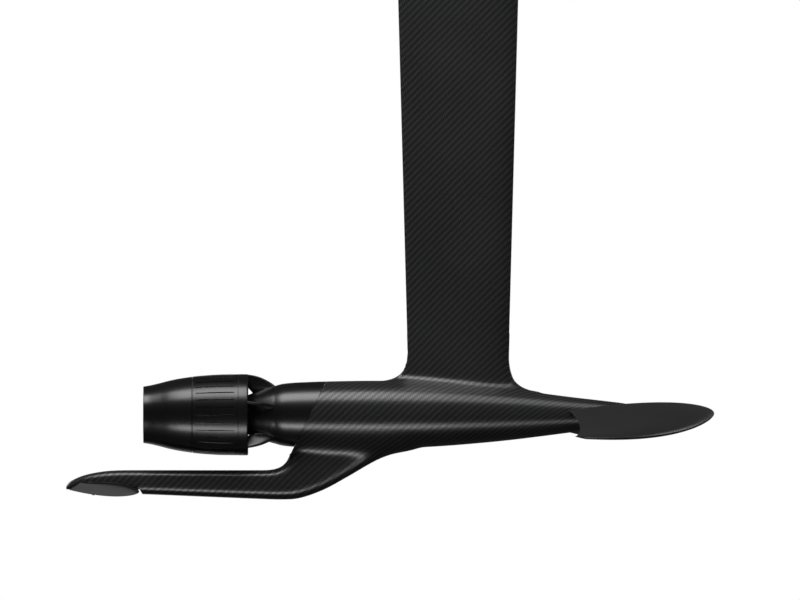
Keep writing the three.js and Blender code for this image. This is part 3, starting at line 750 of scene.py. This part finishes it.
def impeller_nut():
    curve = spline([(-325, 9), (-329, 7.4), (-331.2, 5.9)], 12)
    return piece("impeller_cap_nut", *turned([(-317.3, 6.3), (-317.3, 8.6), (-317.7, 9), (-321, 9.5), *curve,
                                              (-331.5, 6.3)], 96))


def motor_shaft():
    return piece("stainless_shaft", *turned([(-330, 0), (-330, 5.4), (-329.4, 6), (-109.5, 6), (-109, 5.5),
                                             (-109, 0)], 96))


def flow_straightener():
    cone = spline([(-345, 12.5), (-352, 10.4), (-358, 8), (-363, 4.6), (-366, 0.8)], 30)
    o = piece("six_vane_straightener", *turned([(-333, 0), (-333, 12.6), (-333.9, 13.5), *cone, (-366, 0)]))
    tool = moved(blade(np.linspace(8, 43, 24), lambda s: 26 - 2 * s, lambda s: -14, 0.9), -349.5)
    boolean(o, around(tool, VANES, 0.4), "UNION")
    room = spline([(-376, 33.0), (-366, 34.9), (-345, 40.3), (-330, 42.1), (-320, 42.2)], 40)
    boolean(o, turned([(-320, 0), (-376, 0), *room]), "INTERSECT")
    return o


# ---- mast plate ------------------------------------------------------------------------------------

PLATE_LENGTH, PLATE_WIDTH, PLATE_THICKNESS, PLATE_CORNER, PLATE_EDGE = 200.0, 120.0, 8.0, 22.0, 0.8
BOARD_HOLE_X, BOARD_HOLE_Y, BOARD_HOLE_R = 80.0, 44.0, 4.2


def rounded(half_x, half_y, corner):
    """Outline of a rectangle with round corners, (x, y)."""
    angle = np.linspace(0, math.pi / 2, 17)
    points = []
    for turn, (sx, sy) in enumerate([(1, 1), (-1, 1), (-1, -1), (1, -1)]):
        a = angle + turn * math.pi / 2
        points.append(np.stack([sx * (half_x - corner) + corner * np.cos(a),
                                sy * (half_y - corner) + corner * np.sin(a)], 1))
    return np.concatenate(points)


def slab(half_x, half_y, corner, levels, x=0.0):
    """A plate with round corners, levels being (z, inset) from bottom to top."""
    rings = []
    for z, inset in levels:
        outline = rounded(half_x - inset, half_y - inset, corner - inset)
        rings.append(np.column_stack([outline + (x, 0), np.full(len(outline), z)]))
    return loft(rings)


def mast_plate():
    edge = [(-PLATE_THICKNESS, PLATE_EDGE), (PLATE_EDGE - PLATE_THICKNESS, 0), (-PLATE_EDGE, 0),
            (0, PLATE_EDGE)]
    o = piece("machined_mast_plate", *slab(PLATE_LENGTH / 2, PLATE_WIDTH / 2, PLATE_CORNER, edge), height=0)
    hole = turned([(-20, 0), (5, 0), (5, BOARD_HOLE_R + 5.5), (-0.5, BOARD_HOLE_R), (-20, BOARD_HOLE_R)], 64)
    boolean(o, together(*(moved(upright(hole, sx * BOARD_HOLE_X, 0), y=sy * BOARD_HOLE_Y)
                          for sx in (1, -1) for sy in (1, -1))), height=0)
    boolean(o, together(*(downward(screw_room(*MAST_SCREW), x, MAST_HEAD) for x in MAST_SCREWS)), height=0)
    boolean(o, slab(13.3, 10.3, 2.5, [(-3, 0), (5, 0)], CHANNEL_X), height=0)
    boolean(o, slab(11.3, 3.6, 1.5, [(-20, 0), (5, 0)], CHANNEL_X), height=0)
    return o


def spider_screw():
    """A socket-head cap screw along +X, its head's face at x = -34."""
    body = piece("screw", *turned([(-34, 0), (-34, 3.1), (-33.6, 3.5), (-30, 3.5), (-30, 2), (8.5, 2),
                                   (9, 1.5), (9, 0)], 48))
    boolean(body, rod(-36, -31.6, 1.5, 6))
    return shape_of(body)


def connector_seal():
    levels = [(-2.7, 0.3), (-2.4, 0), (-0.6, 0), (-0.3, 0.3)]
    o = piece("connector_gasket", *slab(13, 10, 2.2, levels, CHANNEL_X), height=0)
    boolean(o, slab(11.3, 8.3, 1.2, [(-5, 0), (5, 0)], CHANNEL_X), height=0)
    return o


# ---- materials -------------------------------------------------------------------------------------

class Shader:
    """Nodes of one material, made by name and joined as they are made."""

    def __init__(self, name):
        self.material = bpy.data.materials.new(name)
        self.material.use_nodes = True
        self.tree = self.material.node_tree
        self.base = next(n for n in self.tree.nodes if n.type == "BSDF_PRINCIPLED")

    def set(self, socket, value):
        self.connect(value, self.base.inputs[socket])

    def connect(self, value, socket):
        if isinstance(value, bpy.types.NodeSocket):
            self.tree.links.new(value, socket)
        else:
            socket.default_value = value

    def math(self, operation, *values):
        node = self.tree.nodes.new("ShaderNodeMath")
        node.operation = operation
        for value, socket in zip(values, node.inputs):
            self.connect(value, socket)
        return node.outputs[0]

    def product(self, first, *others):
        for other in others:
            first = self.math("MULTIPLY", first, other)
        return first

    def ramp(self, value, low, rise):
        """low where the value is 0, and low + rise where it is 1."""
        return self.math("ADD", low, self.math("MULTIPLY", value, rise))

    def mix(self, share, a, b):
        return self.math("ADD", a, self.math("MULTIPLY", share, self.math("SUBTRACT", b, a)))

    def place(self):
        """Millimetres on the piece, as a vector."""
        coordinates = self.tree.nodes.new("ShaderNodeTexCoord")
        node = self.tree.nodes.new("ShaderNodeVectorMath")
        node.operation = "SCALE"
        self.tree.links.new(coordinates.outputs["Object"], node.inputs[0])
        node.inputs["Scale"].default_value = 1 / MM
        return node.outputs[0]

    def scaled(self, vector, scale):
        node = self.tree.nodes.new("ShaderNodeVectorMath")
        node.operation = "MULTIPLY"
        self.tree.links.new(vector, node.inputs[0])
        node.inputs[1].default_value = scale
        return node.outputs[0]

    def noise(self, vector, per_mm, detail=2.0):
        node = self.tree.nodes.new("ShaderNodeTexNoise")
        self.tree.links.new(vector, node.inputs["Vector"])
        node.inputs["Scale"].default_value = per_mm
        node.inputs["Detail"].default_value = detail
        return node.outputs[0]

    def split(self, vector):
        node = self.tree.nodes.new("ShaderNodeSeparateXYZ")
        self.tree.links.new(vector, node.inputs[0])
        return node.outputs

    def grey(self, value, tint=(1, 1, 1)):
        node = self.tree.nodes.new("ShaderNodeCombineColor")
        for level, socket in zip(tint, node.inputs):
            self.connect(self.math("MULTIPLY", value, level), socket)
        return node.outputs[0]

    def bump(self, height, distance_mm, strength=1.0):
        node = self.tree.nodes.new("ShaderNodeBump")
        node.inputs["Strength"].default_value = strength
        node.inputs["Distance"].default_value = distance_mm * MM
        self.tree.links.new(height, node.inputs["Height"])
        self.tree.links.new(node.outputs[0], self.base.inputs["Normal"])

    def edges(self, start, width):
        """From 0 on flat and hollow places to 1 on sharp edges."""
        node = self.tree.nodes.new("ShaderNodeNewGeometry")
        share = self.math("DIVIDE", self.math("SUBTRACT", node.outputs["Pointiness"], start), width)
        return self.math("MINIMUM", self.math("MAXIMUM", share, 0.0), 1.0)


TOW = 2.14  # width of a bundle of fibres in the cloth


def carbon():
    """A satin 2 by 2 twill. Warp tows run along the body, and weft tows round it. Painted sheen lightens warp
    tows and each tow's crown.
    """
    s = Shader("carbon_twill")
    cloth = s.tree.nodes.new("ShaderNodeAttribute")
    cloth.attribute_name = "cloth"
    along, across, _ = s.split(cloth.outputs["Vector"])
    p, q = s.math("DIVIDE", along, TOW), s.math("DIVIDE", across, TOW)
    in_p, in_q = s.math("FRACT", p), s.math("FRACT", q)
    turn = s.math("FLOORED_MODULO", s.math("SUBTRACT", s.math("FLOOR", p), s.math("FLOOR", q)), 4.0)
    warp = s.math("LESS_THAN", turn, 1.5)
    width = s.mix(warp, in_p, in_q)
    float_warp = s.math("DIVIDE", s.math("ADD", turn, in_p), 2.0)
    float_weft = s.math("DIVIDE", s.math("ADD", s.math("SUBTRACT", 3.0, turn), in_q), 2.0)
    length = s.mix(warp, float_weft, float_warp)
    crown = s.math("SINE", s.math("MULTIPLY", width, math.pi))
    swell = s.math("SINE", s.math("MULTIPLY", length, math.pi))
    fibre = s.mix(warp, s.noise(s.scaled(cloth.outputs["Vector"], (6.0, 0.25, 1.0)), 1.0, 3.0),
                  s.noise(s.scaled(cloth.outputs["Vector"], (0.25, 6.0, 1.0)), 1.0, 3.0))
    patch = s.noise(s.place(), 0.012, 2.0)
    # Painted sheen and shade: warp tows lighter than weft, tow crowns lighter than their sides, with real fibre
    # grain and patches.
    painted_sheen_and_grain = s.product(s.mix(warp, 1.35, 0.7), s.ramp(s.product(crown, swell), 0.65, 0.5),
                    s.ramp(fibre, 0.6, 0.8), s.ramp(patch, 0.85, 0.3))
    s.set("Base Color", s.grey(s.product(painted_sheen_and_grain, 0.025), (1.0, 1.01, 1.05)))
    s.set("Specular IOR Level", s.ramp(painted_sheen_and_grain, 0.15, 0.3))
    s.set("Roughness", s.ramp(patch, 0.24, 0.08))
    s.set("IOR", 1.5)
    s.bump(s.math("ADD", s.math("MULTIPLY", crown, 0.5), s.math("MULTIPLY", swell, 0.5)), 0.05, 0.35)
    return s.material


def coated(name, base, roughness, grain, depth, edge_lightening, ior=1.5):
    """A painted, moulded or anodised surface: fine grain, faint patches and lighter edges."""
    s = Shader(name)
    place = s.place()
    patch, fine = s.noise(place, 0.02, 3.0), s.noise(place, grain, 2.0)
    edge = s.edges(0.53, 0.06)
    # The base colour is made lighter on sharp edges by the last factor.
    s.set("Base Color", s.grey(s.product(base, s.ramp(patch, 0.85, 0.3), s.ramp(edge, 1.0, edge_lightening - 1))))
    s.set("Roughness", s.ramp(patch, s.ramp(fine, roughness - 0.04, 0.03), 0.06))
    s.set("IOR", ior)
    s.bump(fine, depth)
    return s.material


def brushed(name, base, roughness, tint=(1, 1, 1), stretch=(0.05, 3.0, 3.0)):
    """Bare metal with fine lines along X, or along whichever way it is stretched."""
    s = Shader(name)
    place = s.place()
    line, patch = s.noise(s.scaled(place, stretch), 1.0, 3.0), s.noise(place, 0.05, 2.0)
    s.set("Base Color", s.grey(s.product(base, s.ramp(line, 0.88, 0.24)), tint))
    s.set("Roughness", s.ramp(line, s.ramp(patch, roughness - 0.06, 0.04), 0.1))
    s.set("Metallic", 1.0)
    s.bump(line, 0.004)
    return s.material


def copper_wire():
    """Enamelled turns of wire lying along the slots, the colour darker between turns as painted shade."""
    s = Shader("enamelled_copper")
    _, y, z = s.split(s.place())
    turn = s.math("ARCTAN2", y, s.math("ADD", z, DRIVE_DEPTH))
    wire = s.math("ABSOLUTE", s.math("SINE", s.math("MULTIPLY", turn, 78.0)))
    # Painted shade: base colour darker in the crevices between turns, where the wires meet.
    s.set("Base Color", s.grey(s.ramp(wire, 0.35, 0.4), (1.0, 0.42, 0.18)))
    s.set("Roughness", 0.3)
    s.set("Metallic", 1.0)
    s.set("Coat Weight", 0.5)
    s.bump(wire, 0.25)
    return s.material


def laminations():
    """A stack of thin steel sheets along X."""
    s = Shader("steel_laminations")
    x, _, _ = s.split(s.place())
    sheet = s.math("POWER", s.math("ABSOLUTE", s.math("SINE", s.math("MULTIPLY", x, math.pi / 0.5))), 0.3)
    s.set("Base Color", s.grey(s.math("MULTIPLY", sheet, 0.26), (1.0, 1.02, 1.06)))
    s.set("Roughness", 0.42)
    s.set("Metallic", 1.0)
    s.bump(sheet, 0.03)
    return s.material


def solder_mask():
    """A green board with lighter tracks under the mask."""
    s = Shader("solder_mask")
    _, y, _ = s.split(s.place())
    track = s.math("GREATER_THAN", s.math("SINE", s.math("MULTIPLY", y, 3.1)), 0.55)
    gap = s.math("GREATER_THAN", s.noise(s.place(), 0.35, 1.0), 0.42)
    share = s.math("MULTIPLY", track, gap)
    s.set("Base Color", s.grey(s.mix(share, 0.055, 0.095), (0.22, 1.0, 0.36)))
    s.set("Roughness", 0.34)
    s.bump(share, 0.03)
    return s.material


def finishes():
    """Each slot's material."""
    return {
        "carbon": carbon(),
        "wing_coat": coated("matte_wing_coat", 0.010, 0.42, grain=1.6, depth=0.01, edge_lightening=1.6),
        "anodised": coated("black_anodise", 0.0035, 0.27, ior=1.55, grain=5.0, depth=0.003, edge_lightening=2.0),
        "moulded_plastic": coated("moulded_black", 0.0035, 0.27, grain=2.2, depth=0.006, edge_lightening=1.6),
        "bare_aluminium": brushed("machined_aluminium", 0.58, 0.34, (1.0, 1.01, 1.03)),
        "stainless": brushed("turned_stainless", 0.55, 0.26, stretch=(2.5, 2.5, 2.5)),
        "rubber": coated("black_rubber", 0.016, 0.72, grain=1.2, depth=0.02, edge_lightening=1.2),
        "copper": copper_wire(),
        "electrical_steel": laminations(),
        "magnet": brushed("nickel_plate", 0.5, 0.2, (1.0, 0.97, 0.92), stretch=(0.6, 0.6, 0.6)),
        "circuit_board": solder_mask(),
    }


# ---- assembly ----------------------------------------------------------------------------------------

look = finishes()


def fit(o, slot, body, *nodes):
    """Gives a piece its material and has it stand for its CAD nodes."""
    o.data.materials.clear()
    o.data.materials.append(look[slot])
    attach(o, body)
    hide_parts(*nodes)


fit(moulding(), "carbon", "root", "mast_fuselage_moulding")
fit(front_wing(), "wing_coat", "root", "front_wing")
fit(tail_wing(), "wing_coat", "root", "tail_wing")
fit(motor_housing(), "anodised", "root", "motor_housing")
fit(intake_spider(), "moulded_plastic", "root", "intake_spider")
fit(duct_housing(), "moulded_plastic", "root", "duct_housing")
fit(nozzle(), "anodised", "root", "nozzle")
fit(flow_straightener(), "bare_aluminium", "root", "flow_straightener")
fit(mast_plate(), "bare_aluminium", "root", "mast_plate")
fit(connector_seal(), "rubber", "root", "connector_seal")
fit(impeller(), "moulded_plastic", "rotor", "impeller")
fit(impeller_nut(), "stainless", "rotor", "impeller_nut")
fit(motor_shaft(), "stainless", "rotor", "motor_shaft")

for n, (x, z) in enumerate(zip(WING_SCREWS, WING_HEADS), 1):
    fit(piece(f"wing_screw_shown_{n}", *upright(screw(*WING_SCREW), x, z)), "stainless", "root",
        f"wing_screw_{n}")
for n, x in enumerate(TAIL_SCREWS, 1):
    fit(piece(f"tail_screw_shown_{n}", *upright(screw(*TAIL_SCREW), x, TAIL_HEAD)), "stainless", "root",
        f"tail_screw_{n}")
for n, x in enumerate(MAST_SCREWS, 1):
    fit(piece(f"mast_screw_shown_{n}", *downward(screw(*MAST_SCREW), x, MAST_HEAD), height=0),
        "stainless", "root", f"mast_screw_{n}")
for n in range(STRUTS):
    shape = spun(moved(spider_screw(), HOUSING_BACK, z=STRUT_SCREW_CIRCLE), 360 / STRUTS * n + BETWEEN_STRUTS)
    fit(piece(f"spider_screw_shown_{n + 1}", *shape), "stainless", "root", f"spider_screw_{n + 1}")

slots = [m["slot"] for m in frame["record"]["materials"]]
for node in frame["nodes"].values():
    if not node.hide_render:
        for i, old in enumerate(node.data.materials):
            slot = next(s for s in slots if old.name.startswith(s))
            node.data.materials[i] = look[slot]


# ---- studio ------------------------------------------------------------------------------------------

VIEW_CENTRE, VIEW_WIDTH = (-0.071, 0, -0.650), 0.976  # metres
FLOOR_Z = -2.3


def area_light(name, place, aim, size_x, size_y, power):
    """A rectangular light that the camera doesn't see."""
    light = bpy.data.lights.new(name, "AREA")
    light.shape = "RECTANGLE"
    light.size, light.size_y, light.energy = size_x, size_y, power
    o = bpy.data.objects.new(name, light)
    bpy.context.scene.collection.objects.link(o)
    o.location = place
    o.rotation_euler = (Vector(aim) - Vector(place)).to_track_quat("-Z", "Y").to_euler()
    o.visible_camera = False
    return o


def studio():
    """White backdrop, a long lens square to the object's side, and the lights."""
    scene = bpy.context.scene
    scene.view_settings.view_transform = "Standard"
    camera = bpy.data.objects.new("camera", bpy.data.cameras.new("camera"))
    scene.collection.objects.link(camera)
    camera.data.lens, camera.data.sensor_width = 1000, 36
    distance = VIEW_WIDTH * camera.data.lens / camera.data.sensor_width
    camera.location = Vector(VIEW_CENTRE) + Vector((0, -distance, 0))
    camera.rotation_euler = (math.pi / 2, 0, 0)
    camera.data.clip_end = 200
    scene.camera = camera

    world = bpy.data.worlds.new("studio")
    scene.world = world
    world.use_nodes = True
    tree = world.node_tree
    tree.nodes.clear()
    seen, unseen = tree.nodes.new("ShaderNodeBackground"), tree.nodes.new("ShaderNodeBackground")
    seen.inputs["Color"].default_value = unseen.inputs["Color"].default_value = (1, 1, 1, 1)
    unseen.inputs["Strength"].default_value = 0.045  # white to the camera, nearly dark to the object
    path, mixed = tree.nodes.new("ShaderNodeLightPath"), tree.nodes.new("ShaderNodeMixShader")
    tree.links.new(path.outputs["Is Camera Ray"], mixed.inputs[0])
    tree.links.new(unseen.outputs[0], mixed.inputs[1])
    tree.links.new(seen.outputs[0], mixed.inputs[2])
    tree.links.new(mixed.outputs[0], tree.nodes.new("ShaderNodeOutputWorld").inputs[0])

    # Each pair makes one band of light along the body: the main light behind, a dimmer one towards the nose.
    above, below = (-0.67, 0.88), (-1.27, -1.92)
    area_light("overhead_softbox", (-0.47, *above), (-0.47, 0, -0.79), 1.15, 1.0, 25)
    area_light("overhead_side", (0.49, *above), (0.49, 0, -0.79), 0.77, 1.0, 6.5)
    for name, x, length, power in (("low_side", 0.53, 0.7, 2.5), ("low_strip", -0.42, 1.2, 12)):
        area_light(name, (x, *below), (x, 0, -0.79), length, 0.40, power).visible_diffuse = False
    area_light("rear_low_card", (-0.45, 0.9, -1.24), (-0.45, 0, -0.88), 0.4, 0.3, 0.16)
    area_light("front_fill", (-0.1, -4, -0.6), (-0.1, 0, -0.6), 2, 2, 24).visible_glossy = False
    for side in (-1, 1):
        area_light(f"side_fill_{side}", (2.6 * side, 1.5, 0.6), (0, 0, -0.5), 1.8, 1.8, 26)

    # Pale by itself, so that it throws no light or reflection onto the object from below.
    bpy.ops.mesh.primitive_plane_add(size=40, location=(0, 0, FLOOR_Z))
    floor = bpy.context.object
    floor.name = "floor"
    paint = Shader("pale_floor")
    paint.set("Base Color", (0.86, 0.86, 0.86, 1))
    paint.set("Roughness", 0.8)
    paint.set("Emission Color", (0.82, 0.82, 0.82, 1))
    paint.set("Emission Strength", 0.9)
    floor.data.materials.append(paint.material)
    floor.visible_glossy = floor.visible_diffuse = False


studio()
